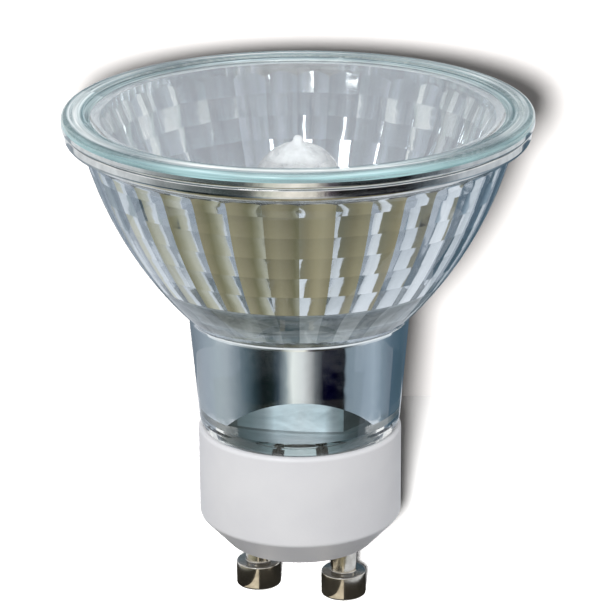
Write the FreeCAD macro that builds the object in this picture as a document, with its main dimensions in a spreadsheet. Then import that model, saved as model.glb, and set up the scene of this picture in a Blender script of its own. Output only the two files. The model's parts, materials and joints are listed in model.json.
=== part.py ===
import FreeCAD, Part
import math
import os
import re

import Sketcher

# A reflector spotlight bulb with a twist-and-lock two-pin base. Millimetres, +Z from the pins to the
# front glass, origin on the lamp's axis in the plane of the pins' ends, pins on the X axis.

os.makedirs("parts", exist_ok=True)
doc = FreeCAD.newDocument("spotlight_bulb")

# Driving dimensions
sizes = [
    ("lamp_height", 56.1, "pin ends to the top of the front glass"),
    ("rim_radius", 25.3, "outside of the front glass"),
    ("cover_thickness", 1.48, "front glass at its edge"),
    ("cover_edge", 0.65, "rounding of the front glass's top edge"),
    ("cover_arris", 0.25, "rounding of its lower edge"),
    ("boss_inset", 3.1, "rim to the boss that centres the front glass, at its lower face"),
    ("boss_draft", 0.9, "how much wider the boss is at its root"),
    ("boss_depth", 0.7, "how far the boss reaches into the mouth"),
    ("boss_clearance", 0.12, "boss to the wall and floor of the mouth's rebate"),
    ("seal_thickness", 0.12, "adhesive between front glass and flange"),
    ("flange_inset", 0.3, "rim to the outside of the reflector's flange"),
    ("flange_height", 1.4, "top of the flange to its lower corner"),
    ("flange_round", 0.65, "rounding of the flange's lower corner"),
    ("flange_arris", 0.2, "rounding of the flange's top corner"),
    ("bowl_top_inset", 2.5, "rim to the bowl's outside, where the flange's underside starts"),
    ("bowl_top_drop", 3.0, "top of the flange down to that place"),
    ("underside_round", 2.3, "hollow curve from the bowl to the flange"),
    ("bowl_foot_overhang", 1.25, "base's side to the bowl's outside at its foot"),
    ("bowl_foot_share", 0.3691, "height of the bowl's foot, as a share of the glass's"),
    ("bowl_round", 42.8, "radius of the bowl's outer curve in section"),
    ("bowl_wall", 2.0, "glass behind the grooves between flutes"),
    ("neck_top_overhang", 0.85, "base's side to the neck's outside, at its top"),
    ("neck_top_share", 0.3454, "height of the neck's top, as a share of the glass's"),
    ("neck_top_round", 1.2, "hollow curve from the neck to the bowl"),
    ("neck_foot_inset", 0.1, "base's side to the neck's outside, at its foot"),
    ("neck_foot_rise", 1.5, "base rim up to the neck's foot"),
    ("neck_seat_inset", 0.55, "base's side to the edge of the face that sits on the base"),
    ("neck_foot_round", 2.6, "rounding from the neck's foot to that face"),
    ("neck_wall", 2.2, "base's side to the inside of the neck"),
    ("neck_floor_thickness", 1.0, "glass floor of the neck, at its sides"),
    ("bridge_rise", 3.9, "that floor up to the crown of the vaulted glass that holds the capsule"),
    ("bridge_inset", 0.6, "inside of the neck to that vault's side"),
    ("spigot_cement", 0.3, "cement round the glass inside the base"),
    ("spigot_length", 4.7, "glass inside the base, below the rim"),
    ("spigot_wall", 1.5, "glass inside the base, wall"),
    ("spigot_roof_rise", 1.0, "base rim up to the underside of the glass floor"),
    ("flute_count", 36, "flutes round the bowl"),
    ("flute_turn", 7.5, "angle of the first groove from the X axis"),
    ("flute_swell", 2.33, "how much tighter a flute's curve is than the bowl's"),
    ("facet_rows", 6, "rows of facets"),
    ("facet_pitch_share", 0.06825, "height of a row, as a share of the glass's"),
    ("facet_start_share", 0.507, "height of the lowest row, as a share of the glass's"),
    ("top_row_flare", 0.45, "slope of the top row against the axis"),
    ("band_inset", 4.1, "rim to the smooth band between the flutes and the mouth"),
    ("throat_radius", 13.7, "smooth throat below the flutes, at its top"),
    ("throat_drop", 3.9, "height of the throat"),
    ("throat_round", 9.0, "radius of the throat's curve in section"),
    ("base_radius", 11.2, "ceramic base, outside"),
    ("base_top_height", 20.2, "height of the base's rim"),
    ("base_edge", 0.5, "rounding of that rim"),
    ("base_wall", 1.0, "ceramic wall"),
    ("base_floor", 2.8, "ceramic floor"),
    ("base_foot_radius", 8.2, "underside of the base"),
    ("base_cone_height", 3.25, "height of the cone at its foot"),
    ("pin_reach", 6.65, "pin ends to the underside of the base"),
    ("pin_pitch", 10, "distance between the pins"),
    ("pin_head_radius", 2.5, "head of a pin"),
    ("pin_head_height", 2.9, "height of a head"),
    ("pin_head_edge", 0.25, "rounding of a head's edges"),
    ("pin_stem_radius", 1.47, "stem of a pin"),
    ("pin_bore_radius", 0.7, "hole in a pin for its wire"),
    ("pin_bore_end", 3.2, "height of that hole's end"),
    ("pin_flare_radius", 2.2, "rivet head inside the base"),
    ("pin_flare_height", 0.5, "height of the rivet head"),
    ("capsule_radius", 4.9, "quartz capsule, outside"),
    ("capsule_wall", 1.0, "quartz wall"),
    ("capsule_headroom", 8.3, "front glass down to where the capsule's dome starts"),
    ("capsule_foot_share", 0.3983, "where its round body ends, as a share of the glass's height"),
    ("shoulder_turn", 35, "angle of the shoulder's corners on the round body"),
    ("tip_radius", 1.1, "root of the sealed exhaust tip"),
    ("tip_length", 1.0, "height of the exhaust tip"),
    ("pinch_top_share", 0.3231, "top of the flat pinch, as a share of the glass's height"),
    ("pinch_bottom_rise", 0.4, "base rim up to the end of the pinch"),
    ("pinch_width", 8.0, "width of the pinch, along X"),
    ("pinch_thickness", 3.0, "thickness of the pinch, along Y"),
    ("cement_gap", 0.3, "cement between pinch and slot"),
    ("cement_collar_width", 1.2, "cement below the floor, beyond the slot"),
    ("cement_drop", 1.5, "crown of the bridge down to the cement's top"),
    ("lead_spacing", 4.8, "distance between the leads"),
    ("lead_radius", 0.25, "leads and lead wires"),
    ("foil_width", 1.8, "sealing foil"),
    ("foil_thickness", 0.05, "sealing foil"),
    ("foil_bottom_share", 0.0613, "foot of the foils, as a share of the glass's height"),
    ("foil_top_share", 0.2618, "top of the foils, as a share of the glass's height"),
    ("foil_lap", 1.0, "how far a lead lies on its foil"),
    ("filament_radius", 0.42, "outside of the coiled filament"),
    ("filament_foot_share", 0.4401, "foot of the filament's legs, as a share of the glass's height"),
    ("filament_bend_drop", 1.0, "start of the dome down to the filament's top bend"),
    ("support_radius", 0.12, "wire that holds the filament's bend"),
    ("support_foot_share", 0.2841, "its end in the pinch, as a share of the glass's height"),
    ("crimp_radius", 0.65, "ferrule round a lead joint"),
    ("crimp_length", 1.8, "length of a ferrule"),
    ("crimp_drop", 0.4, "end of the pinch to the ferrule"),
    ("fuse_radius", 0.95, "glass tube of the fuse"),
    ("fuse_length", 3.8, "length of the tube"),
    ("fuse_wall", 0.3, "wall of the tube"),
    ("fuse_end", 0.5, "sealed end of the tube"),
    ("fuse_drop", 0.6, "ferrule to the fuse"),
    ("fuse_wire_radius", 0.1, "wire that melts"),
    ("sleeve_radius", 0.55, "insulating sleeve, outside"),
    ("wire_bend_drop", 0.8, "fuse down to where the lead wires bend towards the pins"),
]
sheet = doc.addObject("Spreadsheet::Sheet", "Sizes")
for row, (alias, value, note) in enumerate(sizes, start=1):
    sheet.set(f"A{row}", note)
    sheet.set(f"B{row}", str(value))
    sheet.setAlias(f"B{row}", alias)
doc.recompute()

# Places that several pieces share, worked out from the sheet
glass_height = "(lamp_height - base_top_height)"
flange_top = "(lamp_height - cover_thickness - seal_thickness)"
flange_radius = "(rim_radius - flange_inset)"
bowl_top_radius = "(rim_radius - bowl_top_inset)"
band_radius = "(rim_radius - band_inset)"
boss_radius = "(rim_radius - boss_inset)"
boss_root = f"({boss_radius} + boss_draft)"
bowl_foot_height = f"(base_top_height + bowl_foot_share * {glass_height})"
neck_top_height = f"(base_top_height + neck_top_share * {glass_height})"
facet_start = f"(base_top_height + facet_start_share * {glass_height})"
spigot_roof = "(base_top_height + spigot_roof_rise)"
neck_floor = f"({spigot_roof} + neck_floor_thickness)"
bridge_crown = f"({neck_floor} + bridge_rise)"
capsule_foot = f"(base_top_height + capsule_foot_share * {glass_height})"
pinch_top = f"(base_top_height + pinch_top_share * {glass_height})"
pinch_bottom = "(base_top_height + pinch_bottom_rise)"
foil_bottom = f"(base_top_height + foil_bottom_share * {glass_height})"
foil_top = f"(base_top_height + foil_top_share * {glass_height})"
filament_foot = f"(base_top_height + filament_foot_share * {glass_height})"
support_foot = f"(base_top_height + support_foot_share * {glass_height})"
cover_bottom = "(lamp_height - cover_thickness)"
capsule_dome = f"({cover_bottom} - boss_depth - capsule_headroom)"
rebate_floor = f"({cover_bottom} - boss_depth - boss_clearance)"
bowl_top = f"({flange_top} - bowl_top_drop)"
bowl_foot_radius = "(base_radius + bowl_foot_overhang)"
neck_top_radius = "(base_radius + neck_top_overhang)"
neck_foot_radius = "(base_radius - neck_foot_inset)"
neck_seat_radius = "(base_radius - neck_seat_inset)"
neck_bore_radius = "(base_radius - neck_wall)"
bridge_round = f"({neck_bore_radius} - bridge_inset)"
spigot_bottom = "(base_top_height - spigot_length)"
cavity_radius = "(base_radius - base_wall)"
spigot_radius = f"({cavity_radius} - spigot_cement)"
spigot_bore = f"({spigot_radius} - spigot_wall)"
cavity_floor = "(pin_reach + base_floor)"
cone_top = "(pin_reach + base_cone_height)"
slot_width = "(pinch_width + 2 * cement_gap)"
slot_depth = "(pinch_thickness + 2 * cement_gap)"
crimp_top = f"({pinch_bottom} - crimp_drop)"
crimp_bottom = f"({crimp_top} - crimp_length)"
joint_height = f"({crimp_top} - crimp_length / 2)"
fuse_top = f"({crimp_bottom} - fuse_drop)"
fuse_bottom = f"({fuse_top} - fuse_length)"
wire_bend = f"({fuse_bottom} - wire_bend_drop)"
lead_place = "lead_spacing / 2"
foil_place = "-(lead_radius + foil_thickness) / 2"
bend_radius = "((pin_pitch - lead_spacing) / 4)"
filament_bend = "(lead_spacing / 2)"
legs_top = f"({capsule_dome} - filament_bend_drop)"
filament_top = f"({legs_top} + {filament_bend})"
support_hook = "(filament_radius + support_radius)"
inner_foot = f"({foil_top} - foil_lap)"
outer_top = f"({foil_bottom} + foil_lap)"


# Puts the sheet's name before each alias
def bound(expression):
    return re.sub(r"[a-z]+(?:_[a-z]+)+", r"Sizes.\g<0>", expression)


# The present value of an expression
def number(expression):
    return float(sheet.evalExpression(bound(expression)))


def make(kind, label, **bindings):
    piece = doc.addObject(kind, label)
    piece.Label = label
    for name, expression in bindings.items():
        piece.setExpression(name.replace("__", "."), bound(expression))
    return piece


def origin_plane(body, role):
    return next(item for item in body.Origin.OriginFeatures if item.Role == role)


def new_sketch(body, role, name, lift=None):
    sketch = body.newObject("Sketcher::SketchObject", name)
    sketch.AttachmentSupport = (origin_plane(body, role), [""])
    sketch.MapMode = "FlatFace"
    if lift:
        sketch.setExpression("AttachmentOffset.Base.z", bound(lift))
    return sketch


def tie(sketch, kind, *places_and_value):
    *places, expression = places_and_value
    index = sketch.addConstraint(Sketcher.Constraint(kind, *places, number(expression)))
    sketch.setExpression(f"Constraints[{index}]", bound(expression))


def arc_between(start, end, radius, turn):
    chord = end - start
    rise = math.sqrt(max(radius ** 2 - (chord.Length / 2) ** 2, 0))
    side = FreeCAD.Vector(-chord.y, chord.x, 0).normalize() * (rise if turn == "left" else -rise)
    centre = (start + end) / 2 + side
    circle = Part.Circle(centre, FreeCAD.Vector(0, 0, 1), radius)
    first, last = (start, end) if turn == "left" else (end, start)
    return Part.ArcOfCircle(circle, circle.parameter(first), circle.parameter(last))


# An outline is a list of corners (x, y), or (x, y, radius, turn) where an arc arrives at the corner
def draw_outline(sketch, outline, closed=True):
    corners = [FreeCAD.Vector(number(item[0]), number(item[1]), 0) for item in outline]
    ends = []
    for index in range(0 if closed else 1, len(outline)):
        item, start, end = outline[index], corners[index - 1], corners[index]
        if len(item) == 2:
            edge = sketch.addGeometry(Part.LineSegment(start, end), False)
            ends.append((edge, 1, 2, item))
            continue
        edge = sketch.addGeometry(arc_between(start, end, number(item[2]), item[3]), False)
        ends.append((edge, 1, 2, item) if item[3] == "left" else (edge, 2, 1, item))
        tie(sketch, "Radius", edge, item[2])
    for index, (edge, _, last, item) in enumerate(ends):
        if closed or index + 1 < len(ends):
            following, first, _, _ = ends[(index + 1) % len(ends)]
            sketch.addConstraint(Sketcher.Constraint("Coincident", edge, last, following, first))
        fix_corner(sketch, edge, last, item)
    if not closed:
        fix_corner(sketch, ends[0][0], ends[0][1], outline[0])


def fix_corner(sketch, edge, end, item):
    for kind, axis, expression in (("DistanceX", -2, item[0]), ("DistanceY", -1, item[1])):
        if expression == "0":
            sketch.addConstraint(Sketcher.Constraint("PointOnObject", edge, end, axis))
        else:
            tie(sketch, kind, -1, 1, edge, end, expression)


def draw_circle(sketch, x, y, radius):
    centre = FreeCAD.Vector(number(x), number(y), 0)
    circle = Part.Circle(centre, FreeCAD.Vector(0, 0, 1), number(radius))
    edge = sketch.addGeometry(circle, False)
    tie(sketch, "Radius", edge, radius)
    fix_corner(sketch, edge, 3, (x, y))


def new_body(label):
    body = doc.addObject("PartDesign::Body", label)
    body.Label = label
    return body


def turned(body, outline, kind="PartDesign::Revolution"):
    sketch = new_sketch(body, "XZ_Plane", f"{body.Label}_section")
    draw_outline(sketch, outline)
    feature = body.newObject(kind, f"{body.Label}_turn")
    feature.Profile = sketch
    feature.ReferenceAxis = (sketch, ["V_Axis"])
    feature.Angle = 360
    doc.recompute()
    return feature


def turned_body(label, outline):
    body = new_body(label)
    turned(body, outline)
    return body


# A round wire, or a tube where a bore is given, along a path that starts upright in the XZ plane
def wire_body(label, path, radius, bore=None):
    body = new_body(label)
    spine = new_sketch(body, "XZ_Plane", f"{label}_path")
    draw_outline(spine, path, closed=False)
    section = new_sketch(body, "XY_Plane", f"{label}_section", lift=path[0][1])
    draw_circle(section, path[0][0], "0", radius)
    if bore:
        draw_circle(section, path[0][0], "0", bore)
    doc.recompute()
    pipe = body.newObject("PartDesign::AdditivePipe", f"{label}_pipe")
    pipe.Profile = section
    pipe.Spine = spine
    doc.recompute()
    return body


def upright_rod(label, x, bottom, top, radius):
    return make(
        "Part::Cylinder", label, Radius=radius, Height=f"({top}) - ({bottom})",
        Placement__Base__x=x, Placement__Base__z=bottom,
    )


# A box centred on the axis in X and Y
def centred_box(label, width, depth, bottom, top, x="0", y="0"):
    return make(
        "Part::Box", label, Length=width, Width=depth, Height=f"({top}) - ({bottom})",
        Placement__Base__x=f"{x} - ({width}) / 2", Placement__Base__y=f"{y} - ({depth}) / 2",
        Placement__Base__z=bottom,
    )


def fused(label, shapes):
    piece = make("Part::MultiFuse", label)
    piece.Shapes = shapes
    return piece


def grouped(label, shapes):
    piece = make("Part::Compound", label)
    piece.Links = shapes
    return piece


def cut(label, base, tool):
    piece = make("Part::Cut", label)
    piece.Base = base
    piece.Tool = tool
    return piece


# Front glass: a pressed disc with a rounded edge and a boss that centres it in the mouth
def front_glass():
    return turned_body("front_glass", [
        ("0", "lamp_height"),
        ("0", f"{cover_bottom} - boss_depth"),
        (boss_radius, f"{cover_bottom} - boss_depth"),
        (boss_root, cover_bottom),
        ("rim_radius - cover_arris", cover_bottom),
        ("rim_radius", f"{cover_bottom} + cover_arris", "cover_arris", "left"),
        ("rim_radius", "lamp_height - cover_edge"),
        ("rim_radius - cover_edge", "lamp_height", "cover_edge", "left"),
    ])


# Adhesive: a flat ring between the flange and the front glass
def lens_adhesive():
    return turned_body("lens_adhesive", [
        (f"{boss_root} + boss_clearance", flange_top),
        (f"{flange_radius} - flange_arris", flange_top),
        (f"{flange_radius} - flange_arris", cover_bottom),
        (f"{boss_root} + boss_clearance", cover_bottom),
    ])


# The outside of the reflector, still solid: spigot, neck, bowl and flange
def reflector_blank():
    flange_corner = f"{flange_top} - flange_height"
    return turned_body("reflector_blank", [
        ("0", flange_top),
        ("0", spigot_bottom),
        (spigot_radius, spigot_bottom),
        (spigot_radius, "base_top_height"),
        (neck_seat_radius, "base_top_height"),
        (neck_foot_radius, "base_top_height + neck_foot_rise", "neck_foot_round", "left"),
        (neck_top_radius, neck_top_height),
        (bowl_foot_radius, bowl_foot_height, "neck_top_round", "right"),
        (bowl_top_radius, bowl_top, "bowl_round", "left"),
        (f"{flange_radius} - flange_round", flange_corner, "underside_round", "right"),
        (flange_radius, f"{flange_corner} + flange_round", "flange_round", "left"),
        (flange_radius, f"{flange_top} - flange_arris"),
        (f"{flange_radius} - flange_arris", flange_top, "flange_arris", "left"),
    ])


# Section centre of the bowl's outer curve, as (radius, height)
def bowl_centre():
    foot = FreeCAD.Vector(number(bowl_foot_radius), number(bowl_foot_height), 0)
    top = FreeCAD.Vector(number(bowl_top_radius), number(bowl_top), 0)
    arc = arc_between(foot, top, number("bowl_round"), "left")
    return arc.Circle.Center


# Radius of the grooves between flutes at a height: the outer curve less the glass wall
def groove_radius(height):
    centre = bowl_centre()
    inner_round = number("bowl_round") - number("bowl_wall")
    return centre.x + math.sqrt(inner_round ** 2 - (height - centre.y) ** 2)


# One level of the press plunger: an arc for each flute, bulging towards the axis
def flute_ring(radius, height):
    count = int(number("flute_count"))
    step = 2 * math.pi / count
    turn = math.radians(number("flute_turn"))
    half_chord = radius * math.sin(step / 2)
    own_round = radius / number("flute_swell")
    swell = own_round - math.sqrt(own_round ** 2 - half_chord ** 2)
    crest = radius * math.cos(step / 2) - swell

    def place(distance, angle):
        return FreeCAD.Vector(distance * math.cos(angle), distance * math.sin(angle), height)

    arcs = []
    for flute in range(count):
        start = turn + flute * step
        arcs.append(Part.Arc(
            place(radius, start), place(crest, start + step / 2), place(radius, start + step),
        ).toShape())
    return Part.Wire(arcs)


# The faceted inside of the bowl: ruled facets between the levels, up to the smooth band
def flute_plunger():
    rows = int(number("facet_rows"))
    pitch = number(f"facet_pitch_share * {glass_height}")
    levels = [number(facet_start) + row * pitch for row in range(rows)]
    rings = [flute_ring(groove_radius(level), level) for level in levels]
    top = number(rebate_floor) + number("boss_depth")
    flared = groove_radius(levels[-1]) + (top - levels[-1]) * number("top_row_flare")
    rings.append(flute_ring(flared, top))
    facets = Part.makeLoft(rings, True, True)
    band = Part.makeCylinder(
        number(band_radius), number(rebate_floor) - levels[0], FreeCAD.Vector(0, 0, levels[0]),
    )
    plunger = doc.addObject("Part::Feature", "flute_plunger")
    plunger.Shape = facets.common(band)
    return plunger


# The rebate in the mouth that takes the front glass's boss
def mouth_rebate():
    return turned_body("mouth_rebate", [
        ("0", flange_top),
        ("0", rebate_floor),
        (f"{boss_radius} + boss_clearance", rebate_floor),
        (f"{boss_root} + boss_clearance", flange_top),
    ])


# The smooth throat and the bore of the neck
def neck_core():
    return turned_body("neck_core", [
        ("0", facet_start),
        ("0", neck_floor),
        (neck_bore_radius, neck_floor),
        (neck_bore_radius, f"{facet_start} - throat_drop"),
        ("throat_radius", facet_start, "throat_round", "right"),
    ])


# The reflector: pressed glass in one piece, with the vaulted bridge and its slot for the capsule
def reflector():
    vault = make(
        "Part::Cylinder", "bridge_vault", Radius=bridge_round,
        Height=f"2 * {neck_top_radius}", Placement__Base__y=neck_top_radius,
        Placement__Base__z=f"{bridge_crown} - {bridge_round}",
    )
    vault.Placement.Rotation = FreeCAD.Rotation(FreeCAD.Vector(1, 0, 0), 90)
    bore = cut("neck_bore", neck_core(), vault)
    recess = upright_rod("spigot_recess", "0", spigot_bottom, spigot_roof, spigot_bore)
    slot = centred_box(
        "capsule_slot", slot_width, slot_depth, f"{spigot_roof} - base_edge", bridge_crown,
    )
    tools = fused("reflector_inside", [flute_plunger(), mouth_rebate(), bore, recess, slot])
    return cut("reflector", reflector_blank(), tools)


# The hollow ceramic base, with a cone at its foot and two holes for the pins
def base_cap():
    body = turned_body("base_cap", [
        ("0", cavity_floor),
        ("0", "pin_reach"),
        ("base_foot_radius", "pin_reach"),
        ("base_radius", cone_top),
        ("base_radius", "base_top_height - base_edge"),
        ("base_radius - base_edge", "base_top_height", "base_edge", "left"),
        (cavity_radius, "base_top_height"),
        (cavity_radius, f"{cone_top} + base_wall"),
        ("base_foot_radius", cavity_floor),
    ])
    holes = new_sketch(body, "XY_Plane", "pin_holes", lift="pin_reach")
    draw_circle(holes, "pin_pitch / 2", "0", "pin_stem_radius")
    draw_circle(holes, "-pin_pitch / 2", "0", "pin_stem_radius")
    doc.recompute()
    pocket = body.newObject("PartDesign::Pocket", "pin_pocket")
    pocket.Profile = holes
    pocket.Reversed = True
    pocket.setExpression("Length", bound("base_floor + pin_flare_height"))
    return body


# A contact pin: head, stem through the ceramic, and the end riveted over inside
def contact_pin(side, x):
    flare_top = f"({cavity_floor} + pin_flare_height)"
    body = turned_body(f"contact_pin_{side}", [
        ("0", "pin_bore_end"),
        ("0", "0"),
        ("pin_head_radius - pin_head_edge", "0"),
        ("pin_head_radius", "pin_head_edge", "pin_head_edge", "left"),
        ("pin_head_radius", "pin_head_height - pin_head_edge"),
        ("pin_head_radius - pin_head_edge", "pin_head_height", "pin_head_edge", "left"),
        ("pin_stem_radius", "pin_head_height"),
        ("pin_stem_radius", cavity_floor),
        ("pin_flare_radius", cavity_floor),
        ("pin_flare_radius - pin_flare_height / 2", flare_top),
        ("pin_bore_radius", flare_top),
        ("pin_bore_radius", "pin_bore_end"),
    ])
    body.setExpression("Placement.Base.x", bound(x))
    return body


# Cement round the glass spigot, with a lip below its foot
def base_cement():
    return turned_body("base_cement", [
        (cavity_radius, "base_top_height - base_edge"),
        (spigot_radius, "base_top_height - base_edge"),
        (spigot_radius, spigot_bottom),
        (spigot_bore, spigot_bottom),
        (spigot_bore, f"{spigot_bottom} - base_edge"),
        (cavity_radius, f"{spigot_bottom} - base_edge"),
    ])


# The quartz envelope: tube, dome with its exhaust tip, shoulder and flat pinch
def capsule_blank():
    body = new_body("capsule_blank")
    tip_foot = f"({capsule_dome} + sqrt(capsule_radius^2 - tip_radius^2))"
    turned(body, [
        ("0", capsule_foot),
        ("capsule_radius", capsule_foot),
        ("capsule_radius", capsule_dome),
        ("tip_radius", tip_foot, "capsule_radius", "left"),
        ("tip_radius / 2", f"{tip_foot} + tip_length - tip_radius / 2", "tip_length", "right"),
        ("0", f"{tip_foot} + tip_length", "tip_radius / 2", "left"),
    ])
    spread = "(capsule_radius * cos(shoulder_turn))"
    reach = "(capsule_radius * sin(shoulder_turn))"
    round_end = new_sketch(body, "XY_Plane", "shoulder_top", lift=capsule_foot)
    draw_outline(round_end, [
        (spread, reach, "capsule_radius", "left"),
        (f"-{spread}", reach, "capsule_radius", "left"),
        (f"-{spread}", f"-{reach}", "capsule_radius", "left"),
        (spread, f"-{reach}", "capsule_radius", "left"),
    ])
    flat = [
        ("pinch_width / 2", "pinch_thickness / 2"),
        ("-pinch_width / 2", "pinch_thickness / 2"),
        ("-pinch_width / 2", "-pinch_thickness / 2"),
        ("pinch_width / 2", "-pinch_thickness / 2"),
    ]
    flat_end = new_sketch(body, "XY_Plane", "shoulder_foot", lift=pinch_top)
    draw_outline(flat_end, flat)
    doc.recompute()
    shoulder = body.newObject("PartDesign::AdditiveLoft", "capsule_shoulder")
    shoulder.Profile = round_end
    shoulder.Sections = [flat_end]
    doc.recompute()
    pinch_section = new_sketch(body, "XY_Plane", "pinch_section", lift=pinch_bottom)
    draw_outline(pinch_section, flat)
    doc.recompute()
    pinch = body.newObject("PartDesign::Pad", "pinch")
    pinch.Profile = pinch_section
    pinch.setExpression("Length", bound(f"{pinch_top} - {pinch_bottom}"))
    doc.recompute()
    turned(body, [
        ("0", f"{capsule_foot} - capsule_wall"),
        ("pinch_thickness / 2", f"{capsule_foot} - capsule_wall"),
        ("capsule_radius - capsule_wall", f"{capsule_foot} + capsule_wall"),
        ("capsule_radius - capsule_wall", capsule_dome),
        ("0", f"{capsule_dome} + capsule_radius - capsule_wall",
         "capsule_radius - capsule_wall", "left"),
    ], kind="PartDesign::Groove")
    return body


# The wire that holds the filament's bend: a stem hooked over the coil, in the YZ plane
def filament_support():
    body = wire_body("filament_support", [
        (support_hook, support_foot),
        (support_hook, filament_top),
        ("0", f"{filament_top} + {support_hook}", support_hook, "left"),
        (f"-{support_hook}", filament_top, support_hook, "left"),
    ], "support_radius")
    body.Placement.Rotation = FreeCAD.Rotation(FreeCAD.Vector(0, 0, 1), 90)
    return body


# The coiled filament's outer form: two legs and the bend between them
def filament():
    return wire_body("filament", [
        (f"-{lead_place}", filament_foot),
        (f"-{lead_place}", legs_top),
        ("0", filament_top, filament_bend, "right"),
        (lead_place, legs_top, filament_bend, "right"),
        (lead_place, filament_foot),
    ], "filament_radius")


# A lead, flattened on one side over the height where it lies on its foil
def flattened_lead(label, x, bottom, top, lap_bottom, lap_top):
    rod = upright_rod(f"{label}_rod", x, bottom, top, "lead_radius")
    flat = centred_box(
        f"{label}_flat", "2 * lead_radius", "lead_radius / 2", lap_bottom, lap_top,
        x=x, y="-lead_radius * 3 / 4",
    )
    return cut(label, rod, flat)


# A tube closed at both ends round the two wires that enter it
def fuse_tube():
    bore = "(fuse_radius - fuse_wall)"
    body = turned_body("fuse_tube", [
        ("lead_radius", fuse_top),
        ("lead_radius", f"{fuse_top} - fuse_end"),
        (bore, f"{fuse_top} - fuse_end"),
        (bore, f"{fuse_bottom} + fuse_end"),
        ("lead_radius", f"{fuse_bottom} + fuse_end"),
        ("lead_radius", fuse_bottom),
        ("fuse_radius", fuse_bottom),
        ("fuse_radius", fuse_top),
    ])
    body.setExpression("Placement.Base.x", bound(lead_place))
    return body


# A ferrule pressed round the joint of two wires
def crimp(side, x):
    body = turned_body(f"crimp_{side}", [
        ("lead_radius", crimp_top),
        ("lead_radius", crimp_bottom),
        ("crimp_radius", crimp_bottom),
        ("crimp_radius", crimp_top),
    ])
    body.setExpression("Placement.Base.x", bound(x))
    return body


# The way from under a ferrule to the end of a pin's hole, on one side of the axis
def wire_path(sign, top, bottom):
    near, far = f"{sign}{lead_place}", f"{sign}pin_pitch / 2"
    middle = f"{sign}({lead_place} + {bend_radius})"
    first, second = ("left", "right") if sign == "" else ("right", "left")
    bend_foot = f"({wire_bend} - 2 * {bend_radius})"
    return [
        (near, top),
        (near, wire_bend),
        (middle, f"{wire_bend} - {bend_radius}", bend_radius, first),
        (far, bend_foot, bend_radius, second),
        (far, bottom),
    ]


pieces = [front_glass(), lens_adhesive(), reflector(), base_cap(), base_cement(), filament()]
support = filament_support()
pieces.append(support)
sealed_in = [support]
for side, sign in (("left", "-"), ("right", "")):
    lead_x = f"{sign}{lead_place}"
    pieces.append(contact_pin(side, f"{sign}pin_pitch / 2"))
    inner = flattened_lead(
        f"inner_lead_{side}", lead_x, inner_foot, filament_foot,
        inner_foot, foil_top,
    )
    foil = centred_box(
        f"foil_{side}", "foil_width", "foil_thickness", foil_bottom, foil_top,
        x=lead_x, y=foil_place,
    )
    outer = flattened_lead(
        f"outer_lead_{side}", lead_x, joint_height, outer_top, foil_bottom, outer_top,
    )
    sealed_in += [inner, foil, outer]
    pieces += [inner, foil, outer, crimp(side, lead_x)]

fuse_joint_top = f"({fuse_top} - fuse_end)"
fuse_joint_bottom = f"({fuse_bottom} + fuse_end)"
pieces += [
    cut("capsule_envelope", capsule_blank(), grouped("pinch_contents", sealed_in)),
    wire_body("lead_wire_left", wire_path("-", joint_height, "pin_bore_end"), "lead_radius"),
    wire_body("lead_wire_right", wire_path("", fuse_joint_bottom, "pin_bore_end"), "lead_radius"),
    wire_body(
        "lead_sleeve", wire_path("-", fuse_top, f"({cavity_floor} + pin_flare_height)"),
        "sleeve_radius", bore="lead_radius",
    ),
    upright_rod("fuse_lead", lead_place, fuse_joint_top, joint_height, "lead_radius"),
    upright_rod("fuse_wire", lead_place, fuse_joint_bottom, fuse_joint_top, "fuse_wire_radius"),
    fuse_tube(),
]

# Cement in the slot and in a collar below the floor, with the pinch taken out of it
slot_fill = centred_box(
    "slot_fill", slot_width, slot_depth, spigot_roof, f"({bridge_crown} - cement_drop)",
)
collar_fill = centred_box(
    "collar_fill", f"({slot_width} + 2 * cement_collar_width)",
    f"({slot_depth} + 2 * cement_collar_width)", f"{pinch_bottom} + cement_gap",
    spigot_roof,
)
pinch_space = centred_box(
    "pinch_space", "pinch_width", "pinch_thickness", pinch_bottom, pinch_top,
)
pieces.append(cut("capsule_cement", fused("cement_fill", [slot_fill, collar_fill]), pinch_space))
doc.recompute()

for item in doc.Objects:
    if {"Invalid", "Error"} & set(item.State):
        raise RuntimeError(f"{item.Label} failed: {item.State}")
for piece in pieces:
    if piece.Shape.isNull() or not piece.Shape.isValid():
        raise RuntimeError(f"{piece.Label} has no valid shape")
for piece in pieces:
    piece.Shape.exportStep(f"parts/{piece.Label}.step")
    print(piece.Label, len(piece.Shape.Solids), round(piece.Shape.Volume, 2))
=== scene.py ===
import json
import math

import bmesh
import bpy
import numpy as np
from mathutils import Matrix, Vector


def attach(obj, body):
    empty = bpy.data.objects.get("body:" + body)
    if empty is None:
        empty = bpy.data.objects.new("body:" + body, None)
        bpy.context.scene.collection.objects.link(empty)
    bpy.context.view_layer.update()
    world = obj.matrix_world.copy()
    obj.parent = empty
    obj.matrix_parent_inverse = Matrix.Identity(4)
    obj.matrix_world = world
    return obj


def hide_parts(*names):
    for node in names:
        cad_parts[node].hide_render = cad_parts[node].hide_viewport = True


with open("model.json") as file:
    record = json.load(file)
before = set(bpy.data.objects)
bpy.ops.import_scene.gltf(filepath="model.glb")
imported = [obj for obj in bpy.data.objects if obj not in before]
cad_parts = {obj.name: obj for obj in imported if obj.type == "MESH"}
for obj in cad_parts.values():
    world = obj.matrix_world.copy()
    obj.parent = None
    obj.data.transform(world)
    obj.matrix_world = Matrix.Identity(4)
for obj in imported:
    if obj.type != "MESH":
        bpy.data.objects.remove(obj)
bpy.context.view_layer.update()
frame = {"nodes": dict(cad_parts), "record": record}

mm = 0.001
print("frame loaded,", len(frame["nodes"]), "nodes")


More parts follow.
